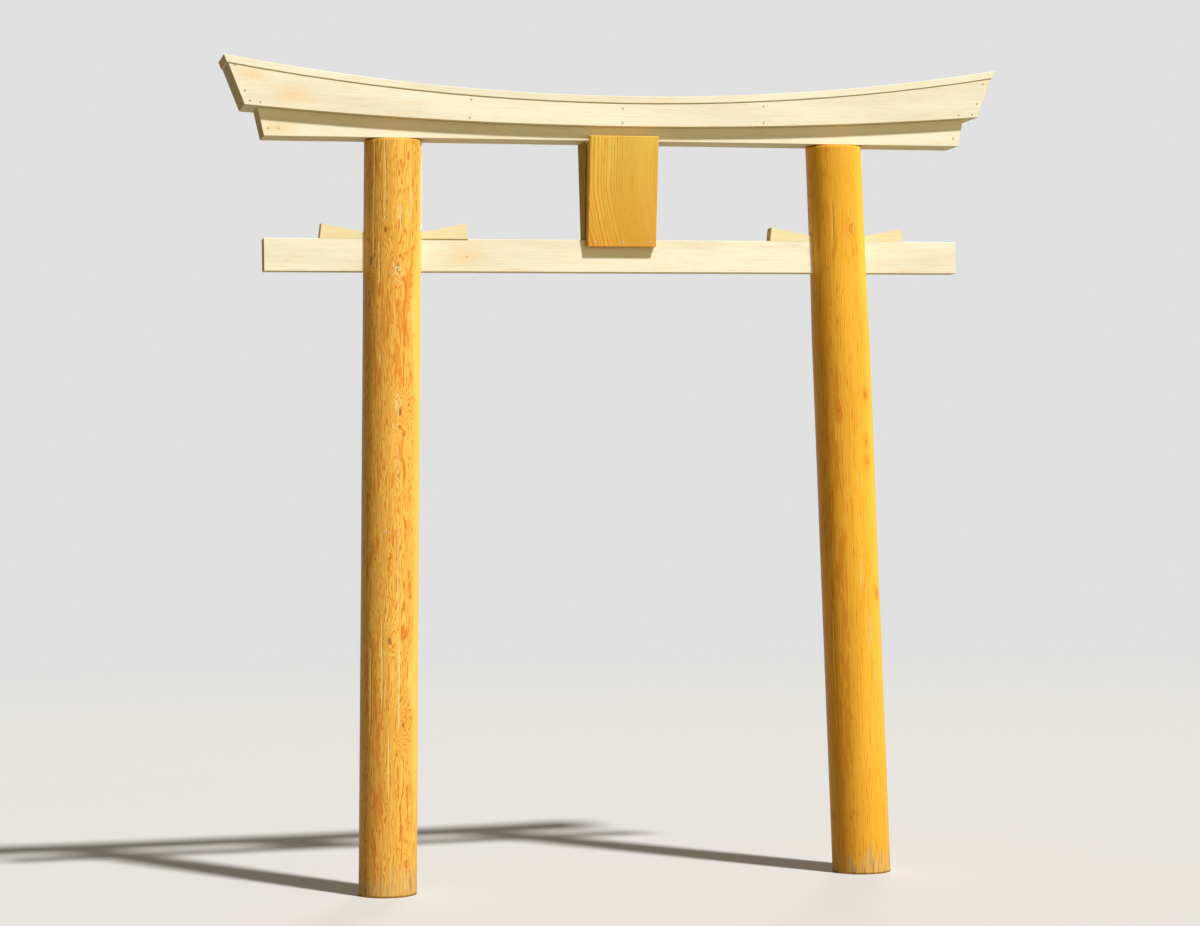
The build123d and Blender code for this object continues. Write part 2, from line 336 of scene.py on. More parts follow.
def growth_rings():
    """Year rings round a pith that runs along Z, strayed from true circles by the tree's own growth."""
    w, given, out = new_group(
        "Growth rings", GROWTH_INPUTS, [("Late Wood", "number"), ("Ring Tone", "number")]
    )
    x, y, z = w.parts(given["Position"])
    shift = w.times(given["Seed"], SEED_STEP)

    # Each ring strays broadly from its circle, ripples more finely and has a ragged edge.
    broad = w.together(
        w.plus(w.over(x, given["Wander Across"]), shift),
        w.over(y, given["Wander Across"]),
        w.plus(w.over(z, given["Wander Along"]), shift),
    )
    stray = w.minus(w.noise(broad, distortion=0.3), 0.5)
    fine = w.scaled(broad, (4.1, 4.1, 2.6))
    ripple = w.minus(w.noise(fine, detail=1.0), 0.5)
    ragged = w.minus(w.noise(w.scaled(given["Position"], (210.0, 210.0, 26.0))), 0.5)
    reach = w.math("SQRT", w.plus(w.times(x, x), w.times(y, y)))
    reach = w.plus(reach, given["Lift"])
    reach = w.times_plus(stray, given["Wander"], reach)
    reach = w.times_plus(ripple, w.times(given["Wander"], 0.20), reach)
    reach = w.times_plus(ragged, w.times(given["Wander"], 0.045), reach)

    # Years differ in width. Each is pale early, darkens late and ends sharply.
    years = w.over(reach, given["Ring Width"])
    uneven = w.noise(w.together(w.times(years, 0.33), shift, 0.0), detail=1.0)
    years = w.times_plus(uneven, 2.4, years)
    season = w.math("FRACT", years)
    rise = w.spread(season, 0.50, 0.86)
    fall = w.spread(season, 0.93, 1.0, 1.0, 0.0)
    w.feed(out["Late Wood"], w.times(rise, fall))
    w.feed(out["Ring Tone"], w.random(w.math("FLOOR", years)))
    return w.tree


def wood_fibre():
    """Fine streaks and short dark pores along Z."""
    w, given, out = new_group(
        "Wood fibre",
        [("Position", "vector"), ("Seed", "number"), ("Fineness", "number")],
        [("Streak", "number"), ("Pore", "number")],
    )
    shift = w.together(given["Seed"], given["Seed"], given["Seed"])
    across = w.over(1.0, given["Fineness"])
    along = w.times(across, FIBRE_ALONG)
    place = w.vector("MULTIPLY_ADD", given["Position"], w.together(across, across, along), shift)
    w.feed(out["Streak"], w.noise(place, detail=4.0, roughness=0.62))
    shorter = w.together(across, across, w.times(along, PORE_SHORTER))
    dash = w.vector("MULTIPLY_ADD", given["Position"], shorter, shift)
    w.feed(out["Pore"], w.spread(w.noise(dash, scale=1.7, detail=1.0), 0.66, 0.74))
    return w.tree


def knot_group():
    """One knot: a branch that runs out along a given way, with the rings bulging round it."""
    w, given, out = new_group(
        "Knot",
        [
            ("Position", "vector"), ("Centre", "vector"), ("Way", "vector"), ("Stretch", "vector"),
            ("Radius", "number"), ("Reach", "number"), ("Bulge", "number"),
        ],
        [("Heart", "number"), ("Halo", "number"), ("Lift", "number")],
    )
    gap = w.vector("SUBTRACT", given["Position"], given["Centre"])
    inward = w.vector("DOT_PRODUCT", gap, given["Way"])
    along = w.add("ShaderNodeVectorMath", {0: given["Way"], "Scale": inward}, operation="SCALE")
    aside = w.scaled(w.vector("SUBTRACT", gap, along.outputs[0]), given["Stretch"])

    # The branch's own dark heart ends at its radius, and the marks round it fade over its reach.
    rough = w.minus(w.noise(given["Position"], scale=160.0, detail=1.0), 0.5)
    away = w.times_plus(rough, w.times(given["Radius"], 0.7), w.vector("LENGTH", aside))
    outer = w.spread(away, w.times(given["Radius"], 0.75), given["Radius"], 1.0, 0.0)
    near = w.over(away, given["Reach"])
    bell = w.math("EXPONENT", w.times(w.times(near, near), -1.0))
    same_side = w.spread(inward, *KNOT_SIDE)
    w.feed(out["Heart"], w.times(outer, same_side))
    w.feed(out["Halo"], w.times(bell, same_side))
    w.feed(out["Lift"], w.times(w.times(bell, given["Bulge"]), same_side))
    return w.tree


def oiled_timber():
    """Colour, sheen and relief of clear-finished softwood."""
    w, given, out = new_group(
        "Oiled timber",
        GROWTH_INPUTS + [
            ("Early Wood", "colour"), ("Late Wood", "colour"), ("Patch", "colour"), ("Late Share", "number"),
            ("Patch Share", "number"), ("Fibre Share", "number"), ("Figure", "number"),
            ("Grain Way", "vector"), ("Roughness", "number"),
        ],
        [("Colour", "colour"), ("Sheen", "number"), ("Relief", "number")],
    )
    growth = {label.replace(" ", "_"): given[label] for label, kind in GROWTH_INPUTS}
    rings = w.group(GROUPS["rings"], **growth)
    fibre = w.group(GROUPS["fibre"], Position=given["Position"], Seed=given["Seed"], Fineness=0.0022)

    # Rings: dense late wood over pale early wood, each year with its own tone, fainter where plain.
    late = w.times(rings["Late Wood"], given["Late Share"])
    late = w.times(late, w.spread(rings["Ring Tone"], 0.0, 1.0, 0.62, 1.0, smooth=False))
    late = w.times(late, w.spread(given["Figure"], -1.0, 0.0, 0.15, 1.0, smooth=False))
    colour = w.blend(late, given["Early Wood"], given["Late Wood"])

    # Clouds: resin-rich patches that follow the rings and the figure, and a broad drift of tone.
    x, y, z = w.parts(given["Position"])
    cloud_place = w.together(w.times_plus(x, 66.0, given["Seed"]), w.times(y, 66.0), w.times(z, 10.5))
    cloud = w.noise(cloud_place, detail=4.0, roughness=0.62, distortion=0.6)
    grained = w.times_plus(rings["Late Wood"], 0.17, cloud)
    grained = w.times_plus(given["Figure"], 0.17, grained)
    patch = w.times(w.spread(grained, 0.615, 0.675), given["Patch Share"])
    colour = w.blend(patch, colour, given["Patch"])
    broad = w.noise(w.scaled(cloud_place, (0.18, 0.18, 0.17)), detail=1.0)
    colour = w.blend(w.spread(broad, 0.32, 0.68, 0.0, 0.16), colour, BROAD_SHADE, kind="MULTIPLY")

    # Fibre: dark streaks and short pores.
    streak = w.spread(fibre["Streak"], 0.30, 0.70, smooth=False)
    dark = w.times(w.minus(1.0, streak), given["Fibre Share"])
    colour = w.blend(dark, colour, STREAK_SHADE, kind="MULTIPLY")
    pores = w.times(fibre["Pore"], w.times(given["Fibre Share"], 0.9))
    colour = w.blend(pores, colour, PORE_SHADE, kind="MULTIPLY")

    # Dust and painted shade dull what faces up, so that tops under the high lamp stay no brighter
    # than fronts. End grain is darker.
    normal = w.add("ShaderNodeNewGeometry").outputs["True Normal"]
    upward = w.spread(w.parts(normal)[2], 0.45, 0.85)
    dust_and_painted_shade = w.times(upward, w.spread(broad, 0.2, 0.8, 0.55, 1.0))
    colour = w.blend(dust_and_painted_shade, colour, DUST_AND_PAINTED_TOP_SHADE, kind="MULTIPLY")
    facing = w.math("ABSOLUTE", w.vector("DOT_PRODUCT", normal, given["Grain Way"]))
    end_grain = w.spread(facing, 0.62, 0.86)
    colour = w.blend(w.times(end_grain, 0.75), colour, END_GRAIN_SHADE, kind="MULTIPLY")
    w.feed(out["Colour"], colour)

    # Dense wood is smoother, dark streaks and end grain are duller, and the fibres stand up.
    sheen = w.times_plus(late, -0.07, given["Roughness"])
    sheen = w.times_plus(w.minus(0.5, streak), 0.14, sheen)
    w.feed(out["Sheen"], w.times_plus(end_grain, 0.22, sheen, clamp=True))
    relief = w.times_plus(streak, 0.45, w.times(late, 0.5))
    w.feed(out["Relief"], w.times_plus(fibre["Pore"], -0.5, relief))
    return w.tree


GROUPS = {}


def build_groups():
    """Every shared effect, built once."""
    if not GROUPS:
        GROUPS["rings"] = growth_rings()
        GROUPS["fibre"] = wood_fibre()
        GROUPS["knot"] = knot_group()
        GROUPS["timber"] = oiled_timber()


# How far each finish stands up and down, and how much it mirrors.
POST_RELIEF, POST_GLOSS = 0.00035, 0.18
SAWN_RELIEF, SAWN_GLOSS = 0.00025, 0.08
STRUT_GLOSS = 0.02

# What the oiled timber group is given for a sawn timber, where the timber itself says nothing.
SAWN_GROWTH = dict(
    Wander=0.012, Wander_Across=0.09, Wander_Along=0.9, Late_Share=0.55, Patch_Share=0.25,
    Fibre_Share=0.22, Roughness=0.55,
)


def grain_way(turn):
    """The way the grain runs in the gate's frame after a turn."""
    return Euler(turn).to_matrix() @ Vector((0.0, 0.0, 1.0))


def start_material(name):
    """A material with its Principled shader and output only: (material, wiring, shader)."""
    material = bpy.data.materials.new(name)
    material.use_nodes = True
    material.node_tree.nodes.clear()
    wiring = Wiring(material.node_tree)
    shader = wiring.add("ShaderNodeBsdfPrincipled")
    wiring.add("ShaderNodeOutputMaterial", {"Surface": shader.outputs[0]})
    return material, wiring, shader


def gate_position(wiring):
    """Position in the gate's own frame, in metres."""
    return wiring.add("ShaderNodeTexCoord").outputs["Object"]


def log_position(wiring, position, pith, turn):
    """Position measured from a pith at a place, with the grain turned to run along Z."""
    sources = {"Vector": position, "Location": pith, "Rotation": turn}
    return wiring.add("ShaderNodeMapping", sources, vector_type="TEXTURE").outputs[0]


def finish_surface(wiring, shader, colour, sheen, relief, depth, gloss):
    """Feed a timber's colour, sheen and relief to its shader, and set its gloss."""
    bump = wiring.add("ShaderNodeBump", {"Height": relief, "Distance": depth})
    for label, source in (("Base Color", colour), ("Roughness", sheen), ("Normal", bump.outputs[0])):
        wiring.feed(shader.inputs[label], source)
    shader.inputs["Specular IOR Level"].default_value = gloss


def add_knots(wiring, position, knots, stretch):
    """The (heart, halo, lift) of all knots, each given by its centre, way, radius, reach and bulge."""
    heart = halo = lift = 0.0
    for centre, way, radius, reach, bulge in knots:
        found = wiring.group(
            GROUPS["knot"], Position=position, Centre=centre, Way=way, Stretch=stretch, Radius=radius,
            Reach=reach, Bulge=bulge,
        )
        heart = found["Heart"] if heart == 0.0 else wiring.larger(heart, found["Heart"])
        halo = found["Halo"] if halo == 0.0 else wiring.larger(halo, found["Halo"])
        lift = found["Lift"] if lift == 0.0 else wiring.plus(lift, found["Lift"])
    return heart, halo, lift


def sawn_timber(
    name, pith, turn, seed, colours, ring_width, knots=(), knot_colour=None, bend=None, swerve=None,
    plain_from=None, deeper_over=None, gloss=SAWN_GLOSS, **growth,
):
    """Material of one sawn timber cut from a log whose pith lies at a place.

    Its grain can follow a bend, or swerve below a height. It can turn plain from one X on, with its
    tone growing deeper down over a height. Growth changes single values of SAWN_GROWTH.
    """
    material, w, shader = start_material(name)
    position = grain_position = gate_position(w)
    x, y, z = w.parts(position)
    if bend:
        middle, rise, half = bend
        along = w.minus(x, middle)
        drop = w.times(w.times(along, along), rise / half ** 2)
        grain_position = w.together(x, y, w.minus(z, drop))
    if swerve:
        height, slope, softness = swerve
        below = w.larger(w.minus(height, z), 0.0)
        run = w.math("SQRT", w.times_plus(below, below, softness ** 2))
        shift = w.times(w.minus(run, softness), slope)
        grain_position = w.together(w.minus(x, shift), y, z)
    heart, halo, lift = add_knots(w, position, knots, KNOT_ALONG_X)
    figure = w.spread(x, *plain_from, 0.0, -0.85) if plain_from else 0.0
    early, late, blush = colours
    timber = w.group(
        GROUPS["timber"], Position=log_position(w, grain_position, pith, turn), Seed=float(seed),
        Ring_Width=ring_width, Lift=lift, Early_Wood=early, Late_Wood=late, Patch=blush, Figure=figure,
        Grain_Way=grain_way(turn), **{**SAWN_GROWTH, **growth},
    )
    colour = timber["Colour"]
    if plain_from:
        colour = w.blend(w.times(figure, -0.20), colour, blush)
        deeper = w.spread(z, *deeper_over, 1.0, 0.0, smooth=False)
        colour = w.blend(deeper, colour, LOWER_SHADE, kind="MULTIPLY")
    if knots:
        colour = w.blend(w.times(halo, 0.40), colour, blush)
        colour = w.blend(w.times(heart, 0.8), colour, knot_colour)
    finish_surface(w, shader, colour, timber["Sheen"], timber["Relief"], SAWN_RELIEF, gloss)
    return material


def dress(node, material):
    """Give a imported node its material."""
    slots = CAD[node].data.materials
    slots.clear()
    slots.append(material)


# Each seam is a line up a post that drying checks follow: where it runs, as (height, arc from the
# front toward +X) in metres, and the lengths that have opened, as (low, high, width).
LEFT_SEAMS = [
    ([(0.0, -0.088), (0.9, -0.084), (2.2, -0.086), (2.63, -0.083)],
     [(2.205, 2.622, 0.0026), (0.56, 0.868, 0.0022), (1.186, 1.214, 0.002)]),
    ([(0.0, -0.06), (1.2, -0.058), (1.85, -0.055), (2.2, -0.062), (2.63, -0.064)],
     [(2.11, 2.275, 0.0018), (1.82, 1.885, 0.0022)]),
    ([(0.0, -0.042), (0.8, -0.041), (1.24, -0.044), (2.4, -0.041), (2.63, -0.044)],
     [(2.33, 2.622, 0.0022), (1.214, 1.258, 0.0034), (0.64, 0.962, 0.0026), (0.05, 0.12, 0.002)]),
    ([(0.0, -0.017), (0.6, -0.015), (2.63, -0.013)],
     [(0.33, 0.592, 0.003), (1.93, 1.985, 0.0014)]),
    ([(0.0, 0.018), (0.9, 0.02), (0.93, 0.014), (1.5, 0.01), (2.3, 0.012), (2.63, 0.014)],
     [(2.296, 2.4, 0.0026), (1.64, 1.7, 0.0028), (1.38, 1.56, 0.0012), (0.935, 1.27, 0.0018),
      (0.56, 0.912, 0.0034)]),
    ([(0.0, 0.052), (1.6, 0.055), (2.63, 0.051)],
     [(2.385, 2.616, 0.0022), (1.96, 2.03, 0.002)]),
    ([(0.0, 0.126), (1.3, 0.12), (2.63, 0.124)], [(0.42, 1.18, 0.0028), (1.7, 2.09, 0.002)]),
    ([(0.0, 0.205), (1.3, 0.211), (2.63, 0.207)], [(0.18, 0.64, 0.0024), (1.24, 2.15, 0.0034)]),
    ([(0.0, 0.288), (1.3, 0.284), (2.63, 0.29)], [(0.8, 1.52, 0.0026), (2.28, 2.6, 0.002)]),
    ([(0.0, 0.372), (1.3, 0.378), (2.63, 0.374)], [(0.3, 0.9, 0.002), (1.36, 1.76, 0.0024)]),
    ([(0.0, 0.47), (1.3, 0.466), (2.63, 0.471)], [(1.02, 1.46, 0.0022), (1.9, 2.34, 0.0018)]),
]
RIGHT_SEAMS = [
    ([(0.0, -0.104), (1.3, -0.1), (2.63, -0.106)], [(0.5, 0.96, 0.0018)]),
    ([(0.0, -0.046), (1.3, -0.043), (2.63, -0.045)], [(2.25, 2.42, 0.0009)]),
    ([(0.0, 0.01), (1.0, 0.004), (1.2, 0.02), (2.2, -0.008), (2.3, 0.012), (2.63, 0.022)],
     [(2.31, 2.33, 0.003), (1.4, 1.44, 0.0026), (1.01, 1.14, 0.0026), (2.534, 2.62, 0.001)]),
    ([(0.0, 0.04), (0.6, 0.034), (0.95, 0.028), (1.5, 0.026), (2.1, 0.036), (2.5, 0.034), (2.63, 0.04)],
     [(2.09, 2.186, 0.0012), (2.29, 2.48, 0.0012), (1.56, 1.72, 0.002), (0.76, 0.985, 0.0028),
      (0.42, 0.64, 0.0024)]),
    ([(0.0, 0.15), (1.3, 0.146), (2.63, 0.149)], [(0.7, 1.28, 0.0022), (1.8, 2.24, 0.0018)]),
    ([(0.0, 0.246), (1.3, 0.251), (2.63, 0.248)], [(0.26, 0.76, 0.0022), (1.15, 2.02, 0.003)]),
    ([(0.0, 0.345), (1.3, 0.34), (2.63, 0.346)], [(0.9, 1.34, 0.002), (2.02, 2.5, 0.0024)]),
    ([(0.0, 0.445), (1.3, 0.449), (2.63, 0.446)], [(0.36, 0.82, 0.0018), (1.48, 1.96, 0.0022)]),
]

# Knots on each post: (height, arc, radius, reach of the rings' bulge, bulge).
LEFT_KNOTS = [
    (2.304, -0.04, 0.006, 0.017, 0.006), (2.172, 0.004, 0.0085, 0.025, 0.01),
    (2.199, -0.096, 0.01, 0.024, 0.009), (1.672, 0.014, 0.007, 0.029, 0.011),
    (1.7, 0.05, 0.004, 0.019, 0.007), (1.454, 0.01, 0.0045, 0.012, 0.004),
    (0.884, -0.016, 0.0075, 0.025, 0.009), (0.594, 0.036, 0.005, 0.034, 0.014),
    (1.262, -0.028, 0.004, 0.014, 0.005), (1.95, 0.16, 0.009, 0.029, 0.01),
    (1.12, 0.25, 0.011, 0.031, 0.011), (0.64, 0.33, 0.008, 0.025, 0.009), (1.73, 0.33, 0.007, 0.025, 0.009),
    (2.42, 0.24, 0.008, 0.025, 0.009), (0.33, 0.18, 0.009, 0.029, 0.01),
]
RIGHT_KNOTS = [
    (1.722, 0.054, 0.0045, 0.018, 0.007), (1.55, 0.052, 0.004, 0.016, 0.006),
    (1.48, 0.052, 0.0045, 0.018, 0.007), (1.008, 0.078, 0.006, 0.02, 0.008),
    (2.318, 0.018, 0.0035, 0.016, 0.006), (1.665, -0.048, 0.003, 0.014, 0.005),
    (2.05, 0.2, 0.008, 0.028, 0.012), (1.3, 0.29, 0.009, 0.03, 0.013), (0.72, 0.24, 0.008, 0.028, 0.012),
    (0.48, 0.38, 0.007, 0.026, 0.011), (2.36, 0.34, 0.007, 0.026, 0.011),
]

# Resin-rich flames (positive) and plain zones (negative) on each post. The plain zones lie on the side
# toward the key lamp and carry a painted highlight: (height, arc, half height, half width, strength).
LEFT_FIGURE = [
    (2.491, -0.066, 0.03, 0.01, 0.8), (2.517, 0.024, 0.035, 0.007, 0.6), (2.345, 0.072, 0.012, 0.014, 0.9),
    (2.187, 0.057, 0.045, 0.009, 0.9), (2.142, 0.042, 0.026, 0.012, 0.8), (2.09, -0.086, 0.07, 0.012, 0.9),
    (2.035, -0.021, 0.08, 0.026, 0.7), (2.06, 0.038, 0.065, 0.014, 0.9), (1.85, -0.083, 0.1, 0.009, 0.8),
    (1.78, -0.057, 0.04, 0.008, 1.0), (1.89, 0.01, 0.13, 0.034, 0.6), (1.8, 0.029, 0.036, 0.014, 1.0),
    (1.938, 0.074, 0.01, 0.006, 1.0), (1.722, 0.066, 0.009, 0.014, 0.9), (1.56, 0.018, 0.06, 0.009, 1.0),
    (1.372, 0.044, 0.038, 0.018, 1.0), (1.402, -0.076, 0.038, 0.013, 0.8),
    (1.454, 0.066, 0.011, 0.006, 1.0), (1.168, -0.091, 0.034, 0.011, 0.9),
    (1.24, -0.004, 0.028, 0.012, 0.8), (1.27, 0.043, 0.042, 0.01, 0.9), (1.25, 0.058, 0.024, 0.01, 0.7),
    (1.052, 0.06, 0.02, 0.006, 0.9), (1.015, 0.0, 0.028, 0.011, 0.8), (0.91, 0.04, 0.02, 0.013, 1.0),
    (0.865, -0.067, 0.036, 0.011, 0.7), (0.853, 0.03, 0.026, 0.009, 0.8), (0.812, -0.007, 0.03, 0.009, 0.7),
    (0.775, 0.045, 0.03, 0.013, 0.9), (0.703, -0.063, 0.05, 0.011, 1.0), (0.7, 0.036, 0.03, 0.013, 0.8),
    (0.62, 0.052, 0.03, 0.022, 0.8), (0.36, -0.054, 0.24, 0.03, 0.6), (1.3, -0.078, 1.5, 0.034, 0.35),
    (1.9, 0.005, 0.9, 0.045, 0.15), (1.96, 0.092, 0.2, 0.022, -1.4), (1.96, 0.128, 0.42, 0.04, -1.0),
    (2.45, 0.125, 0.2, 0.03, -1.0), (1.3, 0.115, 0.6, 0.04, -0.9), (0.6, 0.11, 0.4, 0.036, -0.9),
    (0.76, 0.062, 0.04, 0.014, -1.0), (1.85, 0.24, 0.3, 0.03, 0.7), (1.1, 0.34, 0.24, 0.026, 0.7),
    (0.5, 0.29, 0.2, 0.03, 0.6), (2.35, 0.36, 0.16, 0.026, 0.7), (1.5, 0.43, 0.2, 0.028, 0.7),
    (0.85, 0.2, 0.12, 0.022, 0.8),
]
RIGHT_FIGURE = [
    (1.8, -0.053, 0.07, 0.007, 1.0), (1.66, -0.05, 0.04, 0.009, 0.9), (1.5, -0.054, 0.05, 0.009, 0.9),
    (1.14, -0.056, 0.06, 0.008, 1.0), (1.722, 0.058, 0.016, 0.016, 0.9), (1.55, 0.052, 0.012, 0.01, 0.9),
    (1.48, 0.052, 0.018, 0.012, 0.9), (1.008, 0.078, 0.02, 0.008, 1.0), (0.98, -0.052, 0.1, 0.009, 0.7),
    (1.3, -0.068, 1.5, 0.036, 0.4), (1.9, 0.104, 0.9, 0.05, -0.6), (2.35, 0.088, 0.35, 0.04, -0.4),
    (0.9, 0.098, 0.9, 0.054, -0.6), (0.7, -0.056, 0.2, 0.012, 0.7), (1.7, 0.22, 0.3, 0.026, 0.7),
    (0.8, 0.31, 0.26, 0.026, 0.7), (2.25, 0.3, 0.2, 0.024, 0.6), (1.25, 0.42, 0.3, 0.026, 0.6),
]

# Where splinters and filler leave pale flecks: (height, arc, half height, half width, strength).
LEFT_FLECKS = [
    (2.365, 0.009, 0.036, 0.008, 1.0), (2.385, 0.05, 0.08, 0.007, 0.8), (2.16, 0.001, 0.046, 0.017, 1.0),
    (2.19, -0.096, 0.024, 0.01, 0.6), (2.03, 0.066, 0.08, 0.006, 1.0), (1.7, 0.006, 0.034, 0.014, 1.0),
    (1.63, 0.0, 0.016, 0.01, 0.9), (1.668, -0.086, 0.026, 0.008, 0.8), (1.597, 0.025, 0.012, 0.005, 0.8),
    (1.262, -0.026, 0.016, 0.008, 1.0), (1.2, -0.098, 0.03, 0.006, 0.9), (0.842, -0.033, 0.014, 0.006, 1.0),
    (0.684, 0.072, 0.022, 0.01, 1.0), (0.042, -0.106, 0.024, 0.01, 1.0), (1.9, 0.17, 0.06, 0.012, 0.8),
    (1.1, 0.26, 0.06, 0.014, 0.8), (2.4, 0.26, 0.05, 0.012, 0.8), (0.62, 0.34, 0.05, 0.012, 0.8),
]
RIGHT_FLECKS = [
    (2.315, 0.012, 0.03, 0.008, 0.6), (2.2, -0.004, 0.08, 0.004, 0.5), (1.42, 0.012, 0.03, 0.008, 0.7),
    (1.08, 0.006, 0.07, 0.008, 0.9), (0.86, 0.04, 0.09, 0.014, 0.9), (0.7, 0.05, 0.06, 0.01, 0.8),
    (2.0, 0.21, 0.05, 0.012, 0.7), (1.28, 0.3, 0.06, 0.012, 0.7), (0.46, 0.37, 0.05, 0.012, 0.7),
]

# A seam's own columns, in half widths from its middle, and how deep each lies.
SEAM_OFFSETS = (-1.0, -0.6, 0.0, 0.6, 1.0)
SEAM_DEPTHS = (0.0, 0.9, 1.0, 0.9, 0.0)
# Half the width of a closed seam, and the height over which an open check narrows to its end.
CLOSED_HALF_WIDTH = 0.0010
CHECK_TAPER = 0.05
# How far a seam strays from its line, in long waves and in a fine tremble.
SEAM_STRAY, SEAM_TREMBLE = 0.0018, 0.0004

# A post's top falls to its rim, and the rim is rounded. Its tongue starts inside the top.
TOP_FALL = 0.0050
TOP_FALL_WIDTH = 0.028
RIM_ROUNDING = 0.002
TONGUE_ROOT = 0.002
TONGUE_CORNERS = 8
# The foot, the top and the tongue's six faces stay flat.
FLAT_FACES = 8


def seam_columns(seams, heights, settings):
    """Arc, depth and filler share of every column at every height: each seam's, then plain ones."""
    rows = len(heights)

    # Where each seam runs at each height, how wide it is there and how far it has opened.
    middles, halves, opens = [], [], []
    for number, (path, lengths) in enumerate(seams):
        path_heights, path_arcs = zip(*path)
        middle = np.interp(heights, path_heights, path_arcs)
        stray = [noise.noise(Vector((number * 9.7, height * 11.0, 0.0))) for height in heights]
        tremble = [noise.noise(Vector((number * 3.1, height * 70.0, 4.0))) for height in heights]
        middles.append(middle + SEAM_STRAY * np.array(stray) + SEAM_TREMBLE * np.array(tremble))
        half = np.full(rows, CLOSED_HALF_WIDTH)
        opened = np.zeros(rows)
        for low, high, width in lengths:
            inside = np.clip(np.minimum(heights - low, high - heights) / CHECK_TAPER, 0, 1)
            ragged = 0.78 + 0.35 * np.array(tremble)
            half = np.maximum(half, inside * ragged * width * 0.8)
            opened = np.maximum(opened, np.clip(inside * 2.5, 0, 1))
        halves.append(half)
        opens.append(opened)

    # Each seam's own columns, then plain ones in even steps up to the next seam.
    arcs, depths, fills = [], [], []
    for number, middle in enumerate(middles):
        following = middles[(number + 1) % len(middles)]
        if number == len(middles) - 1:
            following = following + POST_GIRTH
        start = middle + halves[number]
        end = following - halves[(number + 1) % len(middles)]
        for offset, depth in zip(SEAM_OFFSETS, SEAM_DEPTHS):
            arcs.append(middle + offset * halves[number])
            depths.append(depth * opens[number] * settings.check_depth)
            fills.append(opens[number] if depth else np.zeros(rows))
        plain = max(2, int(round((end - start).mean() / settings.column_width)) - 1)
        for step in range(1, plain + 1):
            arcs.append(start + (end - start) * step / (plain + 1))
            depths.append(np.zeros(rows))
            fills.append(np.zeros(rows))
    return np.array(arcs).T, np.array(depths).T, np.array(fills).T


def figure_at(places, arcs, heights):
    """How resin-rich each point of a post is, from its flames and pale zones."""
    total = np.zeros(arcs.shape)
    for height, arc, tall, wide, strength in places:
        around = (arcs - arc + POST_GIRTH / 2) % POST_GIRTH - POST_GIRTH / 2
        gap = (around / wide) ** 2 + ((heights[:, None] - height) / tall) ** 2
        total += strength * np.exp(-0.7 * gap ** 1.6)
    return np.clip(total, -1.0, 1.0)


def post_radius(name, height):
    """Radius of a post at a height, with the swell below the tie beam."""
    share = np.clip((NUKI_LOW.z - height) / (NUKI_LOW.z - SWELL_HEIGHT), 0, 1)
    return POST_RADIUS + POST_SWELL[name] * share


def post_mesh(name, seams, figure, flecks, settings):
    """A leaning round post with filled drying checks, a top that falls to its rim and its tongue."""
    # Even rows up the post, two that round its rim and three that rise to the middle of its top.
    rim = POST_TOP - TOP_FALL
    body_rows = int(round(rim / settings.row_height))
    heights = np.concatenate([
        np.linspace(0.0, rim - RIM_ROUNDING, body_rows + 1),
        rim - RIM_ROUNDING * np.array([0.5, 0.15]),
        rim + TOP_FALL * np.array([0.04, 0.3, 1.0]),
    ])
    above_rim = np.clip(heights - rim, 0, TOP_FALL) / TOP_FALL
    near_rim = np.clip((heights - rim + RIM_ROUNDING) / RIM_ROUNDING, 0, 1)
    shrink = above_rim * (TOP_FALL_WIDTH - RIM_ROUNDING) + RIM_ROUNDING * near_rim ** 2
    arcs, depths, fills = seam_columns(seams, heights, settings)
    angles = arcs / POST_RADIUS
    count = arcs.shape[1]
    foot_x = POST_FEET[name]
    slope = POST_LEAN[name] / POST_TOP
    verts = []
    for row, height in enumerate(heights):
        full = post_radius(name, height)
        for column in range(count):
            angle = angles[row, column]
            place = Vector((sin(angle) * 1.7, cos(angle) * 1.7, height * 2.2 + foot_x * 5))
            dip = settings.unevenness * (0.5 + 0.5 * noise.noise(place))
            radius = full - max(0.0, dip) - depths[row, column] - shrink[row]
            verts.append((foot_x + slope * height + radius * sin(angle), -radius * cos(angle), height))
    faces = []
    for row in range(len(heights) - 1):
        for column in range(count):
            after = (column + 1) % count
            a, b = row * count + column, row * count + after
            faces.append((a, b, b + count, a + count))
    faces.append(tuple(reversed(range(count))))
    faces.append(tuple(range((len(heights) - 1) * count, len(heights) * count)))

    # The tongue.
    base = len(verts)
    top_x = foot_x + POST_LEAN[name]
    half_x, half_y = TONGUE_HALF_WIDTH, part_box("shimaki_middle_soffit")[1].y - JOINT_GAP
    for height in (POST_TOP - TONGUE_ROOT, TONGUE_TOP):
        for x, y in ((-half_x, -half_y), (half_x, -half_y), (half_x, half_y), (-half_x, half_y)):
            verts.append((top_x + x, y, height))
    faces += [
        tuple(base + n for n in side)
        for side in ((3, 2, 1, 0), (4, 5, 6, 7), (0, 1, 5, 4), (1, 2, 6, 5), (2, 3, 7, 6), (3, 0, 4, 7))
    ]

    mesh = bpy.data.meshes.new(name + "_timber")
    mesh.from_pydata(verts, [], faces)
    marks = {
        "filled_check": fills,
        "resin": figure_at(figure, arcs, heights),
        "flecked": figure_at(flecks, arcs, heights),
    }
    for label, strengths in marks.items():
        values = [*strengths.ravel(), *[0.0] * TONGUE_CORNERS]
        mesh.attributes.new(label, "FLOAT", "POINT").data.foreach_set("value", values)
    smooth = [True] * (len(faces) - FLAT_FACES) + [False] * FLAT_FACES
    mesh.polygons.foreach_set("use_smooth", smooth)
    mesh.validate()
    piece = bpy.data.objects.new(name + "_timber", mesh)
    bpy.context.scene.collection.objects.link(piece)
    return piece


